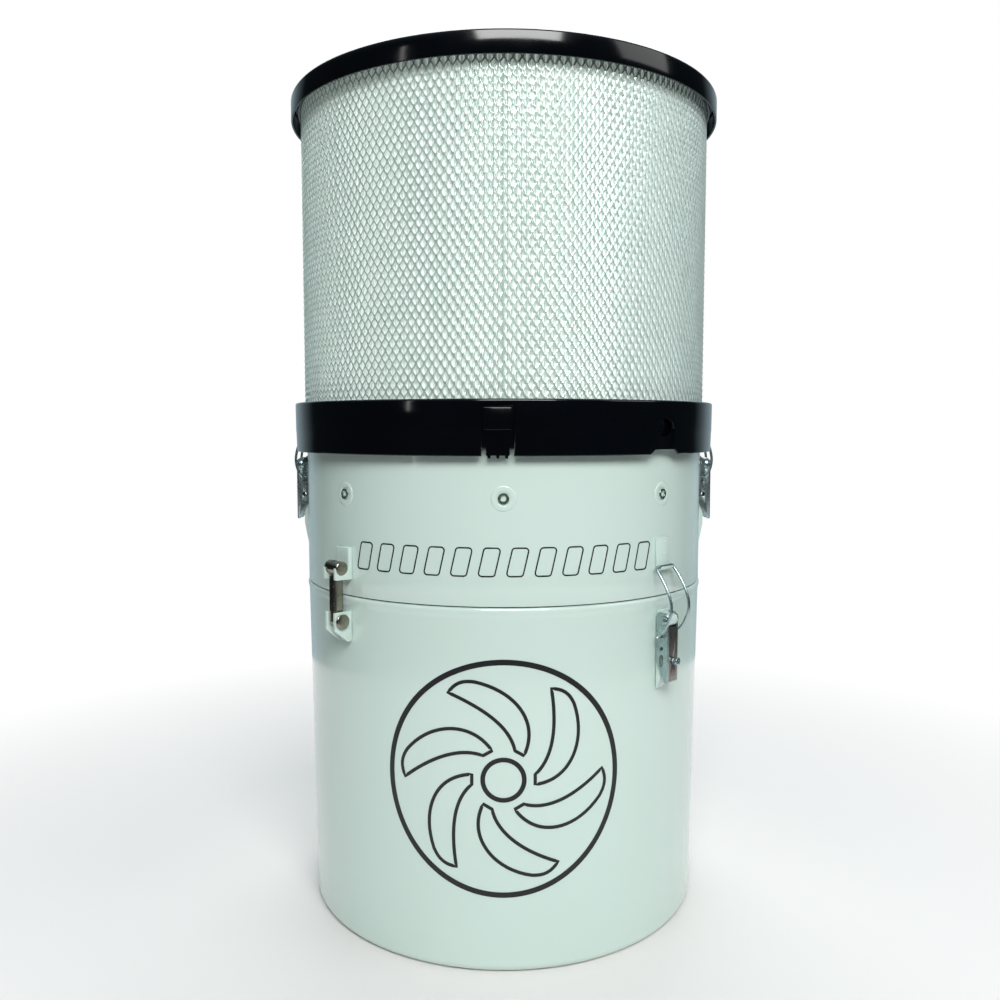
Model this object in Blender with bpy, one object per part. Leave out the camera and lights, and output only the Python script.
"""Free-standing centrifugal oil-mist collector with a pleated afterfilter on top.

Metres, +Z up. The origin is the centre of the base, on the floor. The front faces -Y. An azimuth is
measured from the front, positive towards +X. A fitting on the casing wall is drawn in its own frame:
local X points outwards, local Y runs to the right along the wall, and local Z is up.
"""

import math

import bmesh
import bpy
from mathutils import Matrix, Vector

# ---- Driving dimensions -------------------------------------------------------------------------
GAP = 0.0003  # clearance between pieces that touch
SHEET = 0.002  # casing sheet steel
SHELL_SEGMENTS = 36  # casings and filter
INNER_SEGMENTS = 24  # what sits inside them
ROUND_SEGMENTS = 10  # small fittings

CASING_R = 0.225  # at the seam
CASING_FOOT_R = 0.2198  # just above the bottom corner: the drum has a slight draft
FOOT_CORNER_R = 0.009
SEAM_Z = 0.365
GASKET_T = 0.003
GASKET_IN_R, GASKET_OUT_R = 0.213, 0.2235
RIM_BEAD = 0.001
LOWER_TOP_Z = SEAM_Z - GASKET_T / 2 - GAP
UPPER_BOTTOM_Z = SEAM_Z + GASKET_T / 2 + GAP
UPPER_TOP_Z = 0.515
RIM_FLANGE_R = 0.212

INLET_R = 0.075  # duct bore in the floor of the lower casing
INLET_FLANGE_R = 0.100
CONE_TOP_R, CONE_TOP_Z = 0.070, 0.158
DRAIN_AZ, DRAIN_Z, DRAIN_R = 150.0, 0.024, 0.011

DRUM_R, DRUM_BOTTOM_Z, DRUM_TOP_Z = 0.150, 0.165, 0.338
DRUM_WALL = 0.0016
EYE_R = 0.080
SHAFT_R, SHAFT_TOP_Z, SHAFT_END_Z = 0.012, 0.420, 0.318
HUB_R, HUB_FLANGE_R = 0.028, 0.048
VANE_COUNT = 8

PLATE_R, PLATE_T = 0.218, 0.0035
PLATE_Z = UPPER_BOTTOM_Z + SHEET + GAP
MOTOR_R, MOTOR_FLANGE_R, MOTOR_TOP_Z = 0.074, 0.100, 0.500
MOTOR_BOLT_CIRCLE_R = 0.088
TOP_OPENING_R = 0.150
LINING_IN_R, LINING_OUT_R = 0.202, 0.2125
GLAND_AZ, GLAND_Z, GLAND_R = 158.0, 0.440, 0.010

INSERT_AZIMUTHS = (0.0, 45.0, 135.0, 180.0, -135.0, -45.0)
INSERT_Z = 0.467
INSERT_FLANGE_R, INSERT_BARREL_R, INSERT_BORE_R = 0.0054, 0.0041, 0.0026

HINGE_AZ = -45.0
HINGE_OUT = 0.0125  # both hinge axes stand this far off the wall
HINGE_PIN_Z, HINGE_BARREL_Z = 0.3398, 0.3935
HINGE_PIN_R, HINGE_BARREL_R, HINGE_BARREL_LENGTH = 0.0040, 0.0070, 0.0216
FOOT_HALF, HOOK_HALF, EAR_T = 0.0087, 0.0105, 0.003  # half-widths of the hinge brackets, and their plate
LINK_DEPTH, LINK_WIDTH = 0.0120, 0.0075

LEVER_WIDTH, LEVER_SHEET = 0.018, 0.0016
BAIL_HALF, BAIL_WIRE_R = 0.0150, 0.0015
RIVET_R, RIVET_HEAD_R = 0.003, 0.0048
BAIL_PIVOT = (-0.003, -0.0161)  # from the rivet, outwards and up
PIVOT_OUT = 0.0106  # the rivet's distance off the wall
HOOK_SHEET, HOOK_IN_R = 0.0016, 0.0022

COLLAR_TOP_R, COLLAR_FOOT_R = 0.2373, 0.2362
COLLAR_Z, COLLAR_TOP_Z = 0.507, 0.560
COLLAR_SKIN = 0.0022
TROUGH_R, TROUGH_IN_R, TROUGH_Z = 0.2305, 0.184, 0.5250
JOINT_AZ, JOINT_WIDTH = -1.3, 0.030
NOTCH_AZ, NOTCH_WIDTH = 42.6, 0.034

MESH_R, MESH_T = 0.2265, 0.0010
MEDIA_OUT_R, MEDIA_IN_R = 0.2245, 0.190
CORE_R = 0.1885
CAP_R, CAP_Z, CAP_TOP_Z = 0.2368, 0.865, 0.887
CAP_PLATE = 0.0025
FILTER_FOOT_Z = TROUGH_Z + 0.003 + GAP
FILTER_HEAD_Z = CAP_TOP_Z - CAP_PLATE - GAP


class Finish:
    """The surface finishes, each made once."""

    made = {}

    @classmethod
    def get(cls, name):
        if name not in cls.made:
            colour, roughness, metallic = {
                "casing_paint": ((0.74, 0.80, 0.77), 0.30, 0.0),
                "black_plastic": ((0.012, 0.013, 0.016), 0.18, 0.0),
                "zinc_plate": ((0.62, 0.66, 0.66), 0.30, 1.0),
                "stainless": ((0.60, 0.58, 0.52), 0.25, 1.0),
                "galvanised_mesh": ((0.66, 0.72, 0.70), 0.40, 1.0),
                "filter_paper": ((0.88, 0.91, 0.86), 0.90, 0.0),
                "rubber": ((0.03, 0.03, 0.03), 0.80, 0.0),
                "aluminium": ((0.70, 0.70, 0.72), 0.40, 1.0),
                "foam": ((0.10, 0.10, 0.11), 0.95, 0.0),
                "motor_paint": ((0.16, 0.18, 0.21), 0.45, 0.0),
            }[name]
            finish = bpy.data.materials.new(name)
            finish.use_nodes = True
            shader = finish.node_tree.nodes["Principled BSDF"]
            shader.inputs["Base Color"].default_value = (*colour, 1.0)
            shader.inputs["Roughness"].default_value = roughness
            shader.inputs["Metallic"].default_value = metallic
            cls.made[name] = finish
        return cls.made[name]


# ---- Shapes -------------------------------------------------------------------------------------
def clear_scene():
    for obj in list(bpy.data.objects):
        bpy.data.objects.remove(obj, do_unlink=True)


def arc(centre, radius, start, end, steps):
    """Points on an arc in a section plane, from one angle in degrees to another."""
    angles = [math.radians(start + (end - start) * i / steps) for i in range(steps + 1)]
    return [(centre[0] + radius * math.cos(a), centre[1] + radius * math.sin(a)) for a in angles]


def turned(section, segments=SHELL_SEGMENTS, on_axis=False):
    """A section of (radius, height) points spun about Z. on_axis: it starts and ends on the axis."""
    bm = bmesh.new()
    verts = [bm.verts.new((r, 0.0, z)) for r, z in section]
    pairs = list(zip(verts, verts[1:]))
    if not on_axis:
        pairs.append((verts[-1], verts[0]))
    edges = [bm.edges.new(pair) for pair in pairs]
    bmesh.ops.spin(
        bm, geom=verts + edges, cent=(0, 0, 0), axis=(0, 0, 1), angle=math.tau, steps=segments, use_merge=True
    )
    return closed(bm)


def ring(inner_r, outer_r, bottom_z, top_z, segments=SHELL_SEGMENTS):
    return turned([(inner_r, bottom_z), (outer_r, bottom_z), (outer_r, top_z), (inner_r, top_z)], segments)


def closed(bm):
    bmesh.ops.remove_doubles(bm, verts=bm.verts[:], dist=1e-7)
    bmesh.ops.dissolve_degenerate(bm, edges=bm.edges[:], dist=1e-7)
    bmesh.ops.recalc_face_normals(bm, faces=bm.faces[:])
    return bm


def slab(outline, half_width, centre=0.0):
    """An outline of (outwards, up) points, made a plate that runs along local Y."""
    bm = bmesh.new()
    face = bm.faces.new([bm.verts.new((x, centre - half_width, z)) for x, z in outline])
    side = bmesh.ops.extrude_face_region(bm, geom=[face])["geom"]
    moved = [v for v in side if isinstance(v, bmesh.types.BMVert)]
    bmesh.ops.translate(bm, verts=moved, vec=(0.0, 2 * half_width, 0.0))
    return closed(bm)


def block(x, y, z):
    """A box from three (low, high) pairs."""
    return slab([(x[0], z[0]), (x[1], z[0]), (x[1], z[1]), (x[0], z[1])], (y[1] - y[0]) / 2, (y[0] + y[1]) / 2)


def rod(radius, start, end, segments=ROUND_SEGMENTS):
    """A round bar between two points."""
    start, end = Vector(start), Vector(end)
    bm = bmesh.new()
    bmesh.ops.create_cone(
        bm, cap_ends=True, segments=segments, radius1=radius, radius2=radius, depth=(end - start).length
    )
    turn = (end - start).to_track_quat("Z", "Y").to_matrix().to_4x4()
    bmesh.ops.transform(bm, matrix=Matrix.Translation((start + end) / 2) @ turn, verts=bm.verts[:])
    return bm


def windowed_ring(point, rows, columns, is_open):
    """Two skins of cells round the axis, with a window at each open cell and a wall round each window.

    point(row, column, skin) gives a corner, with skin 0 or 1.
    """
    bm = bmesh.new()
    verts = {}

    def vert(row, column, skin):
        key = (row, column % columns, skin)
        if key not in verts:
            verts[key] = bm.verts.new(point(*key))
        return verts[key]

    cells = {(r, c) for r in range(rows) for c in range(columns) if not is_open(r, c)}
    for row, column in cells:
        corners = [(row, column), (row, column + 1), (row + 1, column + 1), (row + 1, column)]
        for skin in (0, 1):
            bm.faces.new([vert(*corner, skin) for corner in corners])
        beyond = [(row - 1, column), (row, (column + 1) % columns), (row + 1, column), (row, (column - 1) % columns)]
        for side, neighbour in enumerate(beyond):
            if neighbour not in cells:
                a, b = corners[side], corners[(side + 1) % 4]
                bm.faces.new([vert(*a, 0), vert(*b, 0), vert(*b, 1), vert(*a, 1)])
    bmesh.ops.recalc_face_normals(bm, faces=bm.faces[:])
    return bm


def polar(radius, column, columns, z):
    angle = math.tau * column / columns
    return (radius * math.cos(angle), radius * math.sin(angle), z)


def wall_point(azimuth, radius, z):
    angle = math.radians(azimuth)
    return (radius * math.sin(angle), -radius * math.cos(angle), z)


def casing_radius(z):
    """The outside of the casing at a height: the lower part narrows towards the floor."""
    share = min(1.0, (z - FOOT_CORNER_R) / (SEAM_Z - FOOT_CORNER_R))
    return CASING_FOOT_R + (CASING_R - CASING_FOOT_R) * share


def add(name, bm, finish, location=(0.0, 0.0, 0.0), azimuth=None):
    """An object from a bmesh, turned to face outwards at its azimuth."""
    mesh = bpy.data.meshes.new(name)
    bm.to_mesh(mesh)
    bm.free()
    mesh.materials.append(Finish.get(finish))
    mesh.shade_smooth()
    mesh.set_sharp_from_angle(angle=math.radians(35))
    obj = bpy.data.objects.new(name, mesh)
    bpy.context.scene.collection.objects.link(obj)
    obj.location = location
    if azimuth is not None:
        obj.rotation_euler = (0.0, 0.0, math.radians(azimuth - 90.0))
    return obj


def fitting(name, bm, finish, azimuth, z, off_wall=0.0, radius=CASING_R):
    """A piece drawn in the wall's own frame, with its origin on or off the wall."""
    return add(name, bm, finish, wall_point(azimuth, radius + off_wall, z), azimuth)


def combine(target, bm, operation):
    """Cuts or joins a shape in the target's own frame, with the shape kept as a hidden helper."""
    helper = add(f"{target.name}_{operation.lower()}", bm, "zinc_plate")
    helper.hide_render = True
    helper.display_type = "WIRE"
    helper.location = target.location
    helper.rotation_euler = target.rotation_euler
    modifier = target.modifiers.new(operation.title(), "BOOLEAN")
    modifier.operation = operation
    modifier.solver = "EXACT"
    modifier.object = helper
    return helper


def cut(target, *shapes):
    for shape in shapes:
        combine(target, shape, "DIFFERENCE")


def join(target, *shapes):
    for shape in shapes:
        combine(target, shape, "UNION")


def turned_about_wall(bm, azimuth):
    """Moves a shape drawn about local axes at the front into the object's frame, for cutting a casing."""
    bmesh.ops.transform(bm, matrix=Matrix.Rotation(math.radians(azimuth - 90.0), 4, "Z"), verts=bm.verts[:])
    return bm


# ---- Lower casing -------------------------------------------------------------------------------
def build_lower_casing():
    corner = FOOT_CORNER_R
    outside = [(INLET_R + 0.005, 0.0)]
    outside += arc((CASING_FOOT_R - corner, corner), corner, -90, 0, 3)
    outside += [(casing_radius(0.357), 0.357), (CASING_R + RIM_BEAD, 0.3585), (CASING_R + RIM_BEAD, 0.3620)]
    outside += [(CASING_R, LOWER_TOP_Z), (RIM_FLANGE_R, LOWER_TOP_Z)]
    inside = [(RIM_FLANGE_R, LOWER_TOP_Z - SHEET), (CASING_R - SHEET, LOWER_TOP_Z - SHEET)]
    inside += arc((CASING_FOOT_R - corner, corner), corner - SHEET, 0, -90, 3)
    inside += [(INLET_R + 0.005, SHEET)]
    casing = add("lower_casing", turned(outside + inside), "casing_paint")
    hole = rod(DRAIN_R + 3 * GAP, (0.195, 0, DRAIN_Z), (0.240, 0, DRAIN_Z))
    cut(casing, turned_about_wall(hole, DRAIN_AZ))

    floor = SHEET + GAP
    section = [
        (INLET_R, floor), (INLET_FLANGE_R, floor), (INLET_FLANGE_R, floor + 0.003),
        (INLET_R + 0.002, floor + 0.003), (INLET_R + 0.002, floor + 0.020), (INLET_R, floor + 0.020),
    ]
    add("inlet_ring", turned(section, INNER_SEGMENTS), "zinc_plate")
    cone_foot = floor + 0.020 + GAP
    section = [
        (INLET_R, cone_foot), (INLET_R + 0.0025, cone_foot), (CONE_TOP_R + 0.0025, CONE_TOP_Z),
        (CONE_TOP_R, CONE_TOP_Z),
    ]
    add("inlet_cone", turned(section, INNER_SEGMENTS), "zinc_plate")
    gasket = ring(GASKET_IN_R, GASKET_OUT_R, SEAM_Z - GASKET_T / 2, SEAM_Z + GASKET_T / 2)
    add("seam_gasket", gasket, "rubber")

    # The spigot passes through the wall and has a collar outside it.
    wall = casing_radius(DRAIN_Z)
    bore = DRAIN_R - 0.002
    section = [
        (bore, -0.012), (DRAIN_R, -0.012), (DRAIN_R, 0.0008), (DRAIN_R + 0.003, 0.0008),
        (DRAIN_R + 0.003, 0.0040), (DRAIN_R, 0.0040), (DRAIN_R, 0.0200), (bore, 0.0200),
    ]
    spigot = turned(section, ROUND_SEGMENTS)
    bmesh.ops.rotate(spigot, cent=(0, 0, 0), matrix=Matrix.Rotation(math.radians(90), 3, "Y"), verts=spigot.verts[:])
    fitting("drain_outlet", spigot, "zinc_plate", DRAIN_AZ, DRAIN_Z, radius=wall)


# ---- Hinge --------------------------------------------------------------------------------------
def build_hinge():
    wall_foot = GAP
    ear_out = 0.0205
    pin_x = HINGE_OUT
    foot_inner, hook_inner = FOOT_HALF - EAR_T, HOOK_HALF - EAR_T

    # Lower bracket, drawn about the pin's height: two ears with a diagonal lower corner, on a back plate.
    ears = slab([(wall_foot, 0.0092), (ear_out, 0.0092), (ear_out, -0.0089), (0.005, -0.0216), (wall_foot, -0.0208)],
                FOOT_HALF)
    bracket = fitting("hinge_lower_bracket", ears, "casing_paint", HINGE_AZ, HINGE_PIN_Z)
    cut(bracket, block((0.0040, 0.050), (-foot_inner, foot_inner), (-0.050, 0.050)),
        rod(HINGE_PIN_R + GAP, (pin_x, -0.03, 0), (pin_x, 0.03, 0)))

    pin = rod(HINGE_PIN_R, (0, -FOOT_HALF - 0.0020, 0), (0, FOOT_HALF + 0.0010, 0))
    pin_object = fitting("hinge_pin", pin, "stainless", HINGE_AZ, HINGE_PIN_Z, HINGE_OUT)
    join(pin_object, rod(0.0075, (0, FOOT_HALF + GAP, 0), (0, FOOT_HALF + 0.0033, 0), 16))

    # The link: an eye on the pin, a flat bar, and its top just under the barrel.
    rise = HINGE_BARREL_Z - HINGE_PIN_Z
    half = LINK_DEPTH / 2
    outline = arc((0, 0), half, 180, 360, 8)
    outline += [(half, rise - HINGE_BARREL_R - 0.001), (-half, rise - HINGE_BARREL_R - 0.001)]
    link = fitting("hinge_link", slab(outline, LINK_WIDTH / 2), "stainless", HINGE_AZ, HINGE_PIN_Z, HINGE_OUT)
    cut(link, rod(HINGE_PIN_R + GAP, (0, -0.03, 0), (0, 0.03, 0)),
        rod(0.0033, (0, 0, rise - 0.030), (0, 0, rise + 0.02)))

    half_barrel = HINGE_BARREL_LENGTH / 2
    barrel = rod(HINGE_BARREL_R, (0, -half_barrel, 0), (0, half_barrel, 0), 18)
    barrel = fitting("hinge_barrel", barrel, "stainless", HINGE_AZ, HINGE_BARREL_Z, HINGE_OUT)
    cut(barrel, rod(0.0033, (0, 0, -0.03), (0, 0, 0.03)))
    screw = rod(0.0030, (0, 0, -0.028), (0, 0, 0.0062), 12)
    fitting("hinge_adjuster_screw", screw, "stainless", HINGE_AZ, HINGE_BARREL_Z, HINGE_OUT)

    # Hook bracket on the upper casing, drawn about the barrel's axis: the barrel drops into open notches.
    out = HINGE_OUT
    hook = slab([(GAP - out, 0.0202), (0.0050 - out, 0.0202), (0.0050 - out, 0.0005), (ear_out - out, 0.0005),
                 (ear_out - out, -0.0114), (GAP - out, -0.0122)], HOOK_HALF)
    bracket = fitting("hinge_hook_bracket", hook, "casing_paint", HINGE_AZ, HINGE_BARREL_Z, HINGE_OUT)
    notch = HINGE_BARREL_R + GAP
    cut(bracket, block((0.0050 - out, 0.050), (-hook_inner, hook_inner), (-0.05, 0.05)),
        slab(arc((0, 0), notch, 180, 360, 10) + [(notch, 0.02), (-notch, 0.02)], 0.03))


# ---- Toggle latches -----------------------------------------------------------------------------
def lever_shape():
    """The side of the lever about its rivet: full depth at the top, tapered at the tip.

    The two corners near the wall stay inside a circle about the rivet, so that the lever clears the wall.
    """
    outer, inner, top, tip = 0.0054, -0.0086, 0.0080, -0.0635
    corner = 0.006
    outline = [(inner, 0.0050), (inner + 0.0032, top)]
    outline += arc((outer - corner, top - corner), corner, 90, 0, 4)
    outline += [(outer, tip), (outer - 0.0030, tip), (inner, -0.0425)]
    return outline


def wire(name, points, radius, finish, azimuth, location):
    """A bent round wire through a list of points, as a curve with filled ends."""
    curve = bpy.data.curves.new(name, "CURVE")
    curve.dimensions = "3D"
    curve.bevel_depth = radius
    curve.bevel_resolution = 1
    curve.use_fill_caps = True
    spline = curve.splines.new("POLY")
    spline.points.add(len(points) - 1)
    for target, source in zip(spline.points, points):
        target.co = (*source, 1.0)
    curve.materials.append(Finish.get(finish))
    obj = bpy.data.objects.new(name, curve)
    bpy.context.scene.collection.objects.link(obj)
    obj.location = location
    obj.rotation_euler = (0.0, 0.0, math.radians(azimuth - 90.0))
    return obj


def bail_points(crossbar, bulge):
    """One wire from hole to hole: in through a flange, up a bowed leg, over the crossbar and back.

    crossbar is its (outwards, up) place from the holes, and bulge is how far the legs bow out.
    """
    out, up = crossbar
    steps = 6
    corner = 0.004
    leg = []
    for i in range(steps + 1):
        share = i / steps
        bow = bulge * math.sin(math.pi * share ** 0.88)
        leg.append((out * share + bow, (up - corner * 0.3) * share))
    left = [(0.0, -0.0092, 0.0), (0.0, -BAIL_HALF + 0.002, 0.0)]
    left += [(x, -BAIL_HALF, z) for x, z in leg[1:-1]]
    left += [(leg[-1][0], -BAIL_HALF + 0.0008, leg[-1][1]), (out, -BAIL_HALF + corner, up)]
    return left + [(x, -y, z) for x, y, z in reversed(left)]


def hook_outline(plate_up, back):
    """A plate whose foot curls outwards into a low ledge, about the crossbar that rests on it.

    back is how far the wall lies behind the crossbar. The ledge ends below the crossbar, which dips a
    little as it moves outwards.
    """
    inner, outer = HOOK_IN_R, HOOK_IN_R + HOOK_SHEET
    outline = [(-inner, plate_up), (GAP - back, plate_up), (GAP - back, 0.0)]
    outline += arc((0, 0), outer, 190, 292, 5)
    outline += arc((0, 0), inner, 292, 180, 5)
    return outline


class Latch:
    """A toggle latch: a base with its rivet, a lever, a bail and the catch that the bail pulls down."""

    def __init__(self, name, azimuth, rivet_z, crossbar, bulge, on_seam, lock_screw=False):
        self.name = name
        self.azimuth = azimuth
        self.rivet_z = rivet_z
        self.crossbar = crossbar  # (distance off the wall, height)
        self.bulge = bulge
        self.on_seam = on_seam
        self.lock_screw = lock_screw

    def place(self, out, z):
        return wall_point(self.azimuth, CASING_R + out, z)

    def build(self):
        self.build_base()
        self.build_lever()
        self.build_bail()
        self.build_catch()

    def build_base(self):
        """A painted pad with a sloping foot, and a post that holds the rivet."""
        back, face = GAP - PIVOT_OUT, 0.0052 - PIVOT_OUT
        foot = [(face, -0.0600), (back, -0.0715)]
        if not self.on_seam:
            # It thickens under the tip of the lever, then slopes a long way down the wall.
            thick = 0.0078 - PIVOT_OUT
            foot = [(face, -0.0330), (thick, -0.0450), (thick, -0.0680), (back, -0.1080)]
        pad = slab([(back, 0.0100), (face, 0.0100)] + foot, 0.0069)
        base = fitting(f"{self.name}_base", pad, "casing_paint", self.azimuth, self.rivet_z, PIVOT_OUT)
        post = slab([(face - 0.003, -0.006)] + arc((0, 0), 0.006, -90, 90, 6) + [(face - 0.003, 0.006)], 0.0067)
        heads = LEVER_WIDTH / 2 + GAP
        join(base, post, rod(RIVET_R, (0, -heads - 0.001, 0), (0, heads + 0.001, 0)),
             rod(RIVET_HEAD_R, (0, heads, 0), (0, heads + 0.0022, 0)),
             rod(RIVET_HEAD_R, (0, -heads - 0.0022, 0), (0, -heads, 0)))

    def build_lever(self):
        lever = fitting(f"{self.name}_lever", slab(lever_shape(), LEVER_WIDTH / 2), "zinc_plate",
                        self.azimuth, self.rivet_z, PIVOT_OUT)
        inner_half = LEVER_WIDTH / 2 - LEVER_SHEET
        web_in = 0.0054 - LEVER_SHEET
        through = LEVER_WIDTH
        out, up = BAIL_PIVOT
        cut(lever, block((-0.05, web_in), (-inner_half, inner_half), (-0.1, 0.1)),
            block((web_in - 0.001, 0.05), (-inner_half, inner_half), (-0.0068, 0.1)),
            rod(RIVET_R + GAP, (0, -through, 0), (0, through, 0)),
            rod(BAIL_WIRE_R + GAP, (out, -through, up), (out, through, up)))
        if self.lock_screw:
            cut(lever, rod(0.0020, (-0.0025, -through, -0.0285), (-0.0025, through, -0.0285)),
                slab([(-0.0045, -0.0472), (-0.0005, -0.0472), (-0.0005, -0.0350), (-0.0045, -0.0350)], through),
                rod(0.0023, (0, 0, -0.0410), (0.02, 0, -0.0410)))
            section = [
                (0.0, -0.0050), (0.0020, -0.0050), (0.0020, GAP), (0.0036, GAP), (0.0036, 0.0028),
                (0.0022, 0.0028), (0.0022, 0.0044), (0.0042, 0.0044), (0.0038, 0.0066), (0.0, 0.0072),
            ]
            screw = turned(section, ROUND_SEGMENTS, on_axis=True)
            quarter = Matrix.Rotation(math.radians(90), 3, "Y")
            bmesh.ops.rotate(screw, cent=(0, 0, 0), matrix=quarter, verts=screw.verts[:])
            fitting(f"{self.name}_lock_screw", screw, "zinc_plate", self.azimuth, self.rivet_z - 0.0410,
                    PIVOT_OUT + 0.0054)
        else:
            cut(lever, rod(0.0026, (-0.003, -through, -0.0345), (-0.003, through, -0.0345)))

    def build_bail(self):
        out, up = PIVOT_OUT + BAIL_PIVOT[0], self.rivet_z + BAIL_PIVOT[1]
        crossbar = (self.crossbar[0] - out, self.crossbar[1] - up)
        points = bail_points(crossbar, self.bulge)
        wire(f"{self.name}_bail", points, BAIL_WIRE_R, "zinc_plate", self.azimuth, self.place(out, up))

    def build_catch(self):
        out, up = self.crossbar
        back = out if self.on_seam else CASING_R + out - TROUGH_R
        plate_up = 0.0285 if self.on_seam else 0.020
        half = 0.0105
        hook = slab(hook_outline(plate_up, back), half)
        finish = "casing_paint" if self.on_seam else "zinc_plate"
        fitting(f"{self.name}_catch", hook, finish, self.azimuth, up, out)


LATCHES = (
    Latch("seam_latch_right", 45.0, 0.3405, (0.0049, 0.3945), 0.0178, on_seam=True, lock_screw=True),
    Latch("seam_latch_rear", 180.0, 0.3405, (0.0049, 0.3945), 0.0153, on_seam=True),
    Latch("collar_latch_left", -90.0, 0.4905, (0.0106, 0.5180), 0.0068, on_seam=False),
    Latch("collar_latch_right", 90.0, 0.4905, (0.0106, 0.5180), 0.0068, on_seam=False),
)


# ---- Upper casing with its motor ----------------------------------------------------------------
def build_upper_casing():
    corner = 0.004
    outside = [(RIM_FLANGE_R - 0.010, UPPER_BOTTOM_Z), (CASING_R, UPPER_BOTTOM_Z)]
    outside += arc((CASING_R - corner, UPPER_TOP_Z - corner), corner, 0, 90, 2)
    outside += [(TOP_OPENING_R, UPPER_TOP_Z), (TOP_OPENING_R, UPPER_TOP_Z - SHEET)]
    inside = arc((CASING_R - corner, UPPER_TOP_Z - corner), corner - SHEET, 90, 0, 2)
    inside += [(CASING_R - SHEET, UPPER_BOTTOM_Z + SHEET), (RIM_FLANGE_R - 0.010, UPPER_BOTTOM_Z + SHEET)]
    casing = add("upper_casing", turned(outside + inside), "casing_paint")
    for azimuth in INSERT_AZIMUTHS:
        hole = rod(INSERT_BARREL_R + GAP, (0.205, 0, INSERT_Z), (0.24, 0, INSERT_Z))
        cut(casing, turned_about_wall(hole, azimuth))
    cut(casing, turned_about_wall(rod(GLAND_R + 4 * GAP, (0.205, 0, GLAND_Z), (0.24, 0, GLAND_Z)), GLAND_AZ))

    for number, azimuth in enumerate(INSERT_AZIMUTHS, start=1):
        section = [
            (INSERT_BORE_R, -0.010), (INSERT_BARREL_R, -0.010), (INSERT_BARREL_R, GAP),
            (INSERT_FLANGE_R, GAP), (INSERT_FLANGE_R, 0.0013), (INSERT_BORE_R, 0.0013),
        ]
        insert = turned(section, ROUND_SEGMENTS)
        quarter = Matrix.Rotation(math.radians(90), 3, "Y")
        bmesh.ops.rotate(insert, cent=(0, 0, 0), matrix=quarter, verts=insert.verts[:])
        fitting(f"mount_insert_{number}", insert, "zinc_plate", azimuth, INSERT_Z)

    lining = ring(LINING_IN_R, LINING_OUT_R, PLATE_Z + PLATE_T + GAP, UPPER_TOP_Z - SHEET - GAP)
    add("sound_lining", lining, "foam")

    section = [
        (0.0055, -0.009), (GLAND_R, -0.009), (GLAND_R, GAP), (0.0135, GAP), (0.0135, 0.006),
        (0.0120, 0.007), (0.0120, 0.017), (0.0085, 0.022), (0.0055, 0.022),
    ]
    gland = turned(section, 12)
    quarter = Matrix.Rotation(math.radians(90), 3, "Y")
    bmesh.ops.rotate(gland, cent=(0, 0, 0), matrix=quarter, verts=gland.verts[:])
    fitting("cable_gland", gland, "black_plastic", GLAND_AZ, GLAND_Z)

    radii = (0.040, 0.090, 0.098, 0.144, 0.170)
    grille = windowed_ring(
        lambda row, column, skin: polar(radii[row], column, INNER_SEGMENTS, UPPER_TOP_Z + GAP + 0.002 * skin),
        len(radii) - 1, INNER_SEGMENTS, lambda row, column: row in (0, 2) and column % 4 != 0,
    )
    add("exhaust_grille", grille, "zinc_plate")


def build_motor():
    radii = (0.020, 0.108, 0.186, PLATE_R)
    plate = windowed_ring(
        lambda row, column, skin: polar(radii[row], column, INNER_SEGMENTS, PLATE_Z + PLATE_T * skin),
        3, INNER_SEGMENTS, lambda row, column: row == 1 and column % 4 != 0,
    )
    plate = add("motor_plate", plate, "zinc_plate")

    foot = PLATE_Z + PLATE_T + GAP
    body = [
        (SHAFT_R + 0.002, foot), (MOTOR_FLANGE_R, foot), (MOTOR_FLANGE_R, foot + 0.009),
        (MOTOR_R, foot + 0.012), (MOTOR_R, MOTOR_TOP_Z - 0.030), (MOTOR_R + 0.004, MOTOR_TOP_Z - 0.029),
    ]
    body += arc((MOTOR_R + 0.004 - 0.012, MOTOR_TOP_Z - 0.012), 0.012, 0, 90, 3)
    body += [(0.0, MOTOR_TOP_Z), (0.0, SHAFT_TOP_Z + 0.004), (SHAFT_R + 0.002, SHAFT_TOP_Z + 0.004)]
    motor = add("motor_body", turned_solid_with_bore(body), "motor_paint")

    for number in range(1, 5):
        azimuth = 45.0 + 90.0 * number
        x, y, _ = wall_point(azimuth, MOTOR_BOLT_CIRCLE_R, 0.0)
        reach = rod(0.0043, (x, y, PLATE_Z - 0.01), (x, y, foot + 0.006), 12)
        cut(plate, reach.copy())
        cut(motor, reach)
        bolt = rod(0.0075, (x, y, PLATE_Z - GAP - 0.0055), (x, y, PLATE_Z - GAP), 6)
        bolt = add(f"motor_bolt_{number}", bolt, "zinc_plate")
        join(bolt, rod(0.0040, (x, y, PLATE_Z - 0.002), (x, y, foot + 0.0055), 12))

    box = block((MOTOR_R + 0.0008, MOTOR_R + 0.036), (-0.034, 0.034), (0.404, 0.458))
    bmesh.ops.bevel(box, geom=box.edges[:], offset=0.004, segments=2, affect="EDGES", clamp_overlap=True)
    add("motor_terminal_box", box, "motor_paint", azimuth=GLAND_AZ)


def turned_solid_with_bore(section):
    """A turned body whose section runs round a blind bore and meets the axis above it."""
    bm = bmesh.new()
    verts = [bm.verts.new((r, 0.0, z)) for r, z in section]
    on_axis = [i for i, (r, _) in enumerate(section) if r == 0.0]
    pairs = [(i, (i + 1) % len(verts)) for i in range(len(verts))]
    edges = [bm.edges.new((verts[a], verts[b])) for a, b in pairs if not (a in on_axis and b in on_axis)]
    bmesh.ops.spin(
        bm, geom=verts + edges, cent=(0, 0, 0), axis=(0, 0, 1), angle=math.tau, steps=INNER_SEGMENTS, use_merge=True
    )
    return closed(bm)


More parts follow.
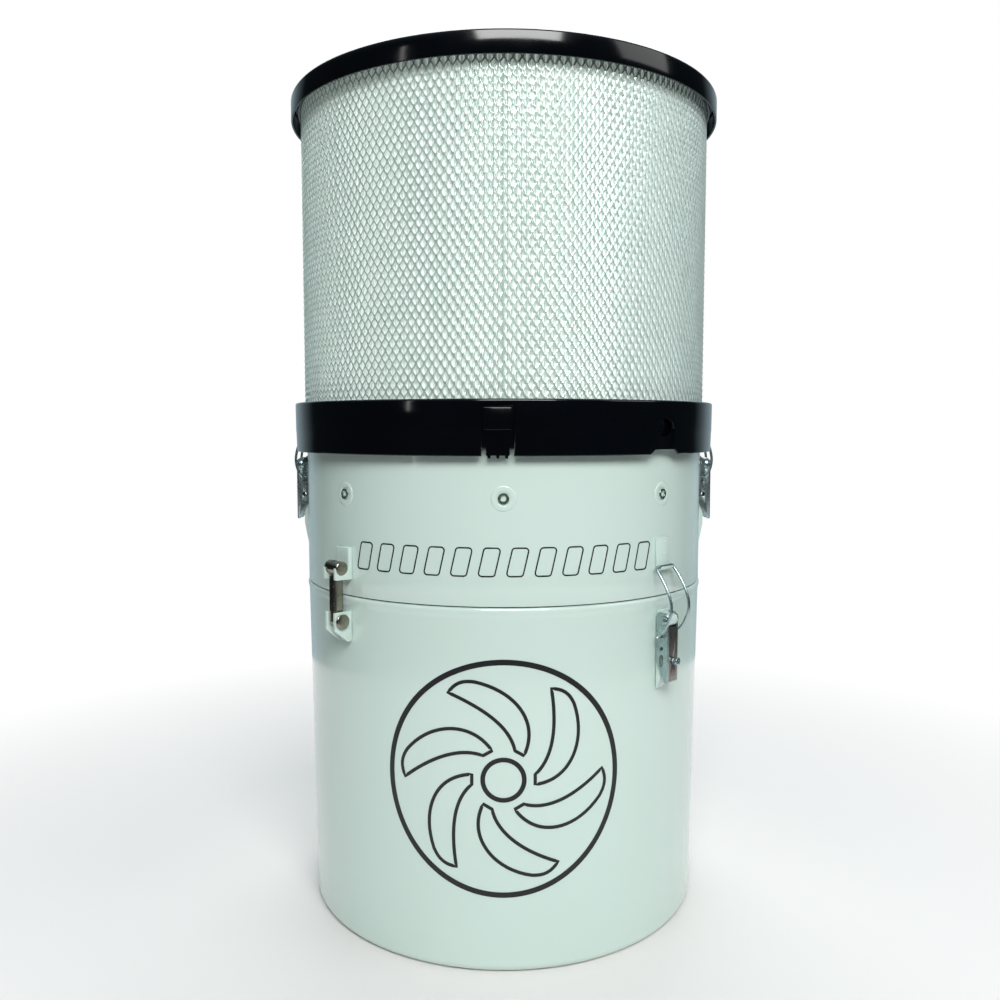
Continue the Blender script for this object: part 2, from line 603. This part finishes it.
# ---- Rotor --------------------------------------------------------------------------------------
def build_rotor():
    heights = (DRUM_BOTTOM_Z, 0.182, 0.244, 0.258, 0.320, DRUM_TOP_Z)
    wall = windowed_ring(
        lambda row, column, skin: polar(DRUM_R - DRUM_WALL * (1 - skin), column, SHELL_SEGMENTS, heights[row]),
        len(heights) - 1, SHELL_SEGMENTS, lambda row, column: row in (1, 3) and column % 4 != 0,
    )
    drum = add("drum_shell", wall, "zinc_plate")
    overlap = DRUM_R - DRUM_WALL / 2
    join(drum, ring(EYE_R, overlap, DRUM_BOTTOM_Z, DRUM_BOTTOM_Z + 0.002),
         ring(HUB_R + GAP, overlap, DRUM_TOP_Z - 0.0025, DRUM_TOP_Z))

    foam_out = DRUM_R - DRUM_WALL - 0.0006
    add("drum_foam", ring(foam_out - 0.006, foam_out, DRUM_BOTTOM_Z + 0.003, DRUM_TOP_Z - 0.0035), "foam")

    vane_top = DRUM_TOP_Z - 0.0035
    vanes = add("impeller_vanes", ring(0.056, 0.138, vane_top - 0.002, vane_top, INNER_SEGMENTS), "zinc_plate")
    for number in range(VANE_COUNT):
        blade = block((0.088, 0.139), (-0.001, 0.001), (DRUM_BOTTOM_Z + 0.006, vane_top - 0.001))
        join(vanes, turned_about_wall(blade, 360.0 * (number + 0.5) / VANE_COUNT))

    bore = SHAFT_R + GAP
    section = [
        (bore, 0.320), (HUB_R, 0.320), (HUB_R, DRUM_TOP_Z + GAP), (HUB_FLANGE_R, DRUM_TOP_Z + GAP),
        (HUB_FLANGE_R, DRUM_TOP_Z + 0.005), (0.022, DRUM_TOP_Z + 0.009), (bore, DRUM_TOP_Z + 0.009),
    ]
    add("rotor_hub", turned(section, INNER_SEGMENTS), "aluminium")
    add("motor_shaft", rod(SHAFT_R, (0, 0, SHAFT_END_Z), (0, 0, SHAFT_TOP_Z), INNER_SEGMENTS), "stainless")
    section = [(0.0, 0.3040), (0.0090, 0.3040), (0.0090, 0.3130), (0.0210, 0.3130), (0.0210, 0.3175), (0.0, 0.3175)]
    add("rotor_bolt", turned(section, 12, on_axis=True), "zinc_plate")


# ---- Afterfilter --------------------------------------------------------------------------------
def build_afterfilter():
    skin, floor = COLLAR_SKIN, 0.003
    section = [
        (COLLAR_FOOT_R - skin, COLLAR_Z), (COLLAR_FOOT_R, COLLAR_Z), (COLLAR_TOP_R, COLLAR_TOP_Z - 0.002),
        (COLLAR_TOP_R - 0.002, COLLAR_TOP_Z), (MESH_R + 0.0012, COLLAR_TOP_Z), (MESH_R + 0.0012, TROUGH_Z + floor),
        (TROUGH_IN_R + 0.002, TROUGH_Z + floor), (TROUGH_IN_R + 0.002, TROUGH_Z + 0.020),
        (TROUGH_IN_R, TROUGH_Z + 0.020), (TROUGH_IN_R, TROUGH_Z), (TROUGH_R, TROUGH_Z),
        (TROUGH_R, COLLAR_TOP_Z - 0.003), (COLLAR_TOP_R - skin, COLLAR_TOP_Z - 0.003),
    ]
    collar = add("filter_collar", turned(section), "black_plastic")
    window = 0.046 / 2
    for azimuth in (-90.0, 90.0):
        # The skirt opens here for the bail and its hook.
        opening = block((TROUGH_R + 0.0008, 0.26), (-window, window), (0.49, 0.543))
        cut(collar, turned_about_wall(opening, azimuth))
    half = JOINT_WIDTH / 2
    cut(collar, turned_about_wall(block((0.2325, 0.26), (-half, half), (0.49, COLLAR_TOP_Z - 0.005)), JOINT_AZ))
    half = NOTCH_WIDTH / 2
    notch = [(0.49, -half - 0.005), (0.5125, -half), (0.5125, half), (0.49, half + 0.005)]
    cut(collar, turned_about_wall(upright_plate([(y, z) for z, y in notch], 0.2325, 0.26), NOTCH_AZ))

    # The joint clip fills the gap between the band's ends, a little behind its face, with a narrow tab below.
    clip_half, tab_half = JOINT_WIDTH / 2 - GAP, 0.011
    outline = [(-clip_half, 0.5545), (-clip_half, 0.5120), (-tab_half, 0.5120), (-tab_half, 0.5045),
               (tab_half, 0.5045), (tab_half, 0.5120), (clip_half, 0.5120), (clip_half, 0.5545)]
    clip = upright_plate(outline, TROUGH_R + 0.0015, COLLAR_FOOT_R - 0.0018)
    add("collar_clip", turned_about_wall(clip, JOINT_AZ), "black_plastic")

    add("outer_mesh", ring(MESH_R - MESH_T, MESH_R, FILTER_FOOT_Z, FILTER_HEAD_Z), "galvanised_mesh")
    add("pleated_media", ring(MEDIA_IN_R, MEDIA_OUT_R, FILTER_FOOT_Z, FILTER_HEAD_Z), "filter_paper")
    add("inner_mesh", ring(CORE_R - MESH_T, CORE_R, FILTER_FOOT_Z, FILTER_HEAD_Z), "galvanised_mesh")
    gasket = ring(0.186, 0.218, UPPER_TOP_Z + GAP, TROUGH_Z - GAP)
    add("filter_gasket", gasket, "rubber")

    lip = 0.0022
    section = [(0.0, CAP_TOP_Z - 0.0060), (CORE_R - 0.012, CAP_TOP_Z - 0.0060), (CORE_R - 0.006, CAP_TOP_Z)]
    section += [(CAP_R - 0.002, CAP_TOP_Z), (CAP_R, CAP_TOP_Z - 0.002), (CAP_R, CAP_Z), (CAP_R - lip, CAP_Z)]
    section += [(CAP_R - lip, CAP_TOP_Z - CAP_PLATE), (CORE_R - 0.005, CAP_TOP_Z - CAP_PLATE)]
    section += [(CORE_R - 0.011, CAP_TOP_Z - 0.0085), (0.0, CAP_TOP_Z - 0.0085)]
    add("filter_end_cap", turned(section, on_axis=True), "black_plastic")


def upright_plate(outline, inner_x, outer_x):
    """An outline of (along the wall, up) points, made a plate between two distances from the axis."""
    bm = bmesh.new()
    face = bm.faces.new([bm.verts.new((inner_x, y, z)) for y, z in outline])
    side = bmesh.ops.extrude_face_region(bm, geom=[face])["geom"]
    moved = [v for v in side if isinstance(v, bmesh.types.BMVert)]
    bmesh.ops.translate(bm, verts=moved, vec=(outer_x - inner_x, 0.0, 0.0))
    return closed(bm)


def build():
    clear_scene()
    build_lower_casing()
    build_hinge()
    for latch in LATCHES:
        latch.build()
    build_upper_casing()
    build_motor()
    build_rotor()
    build_afterfilter()


build()
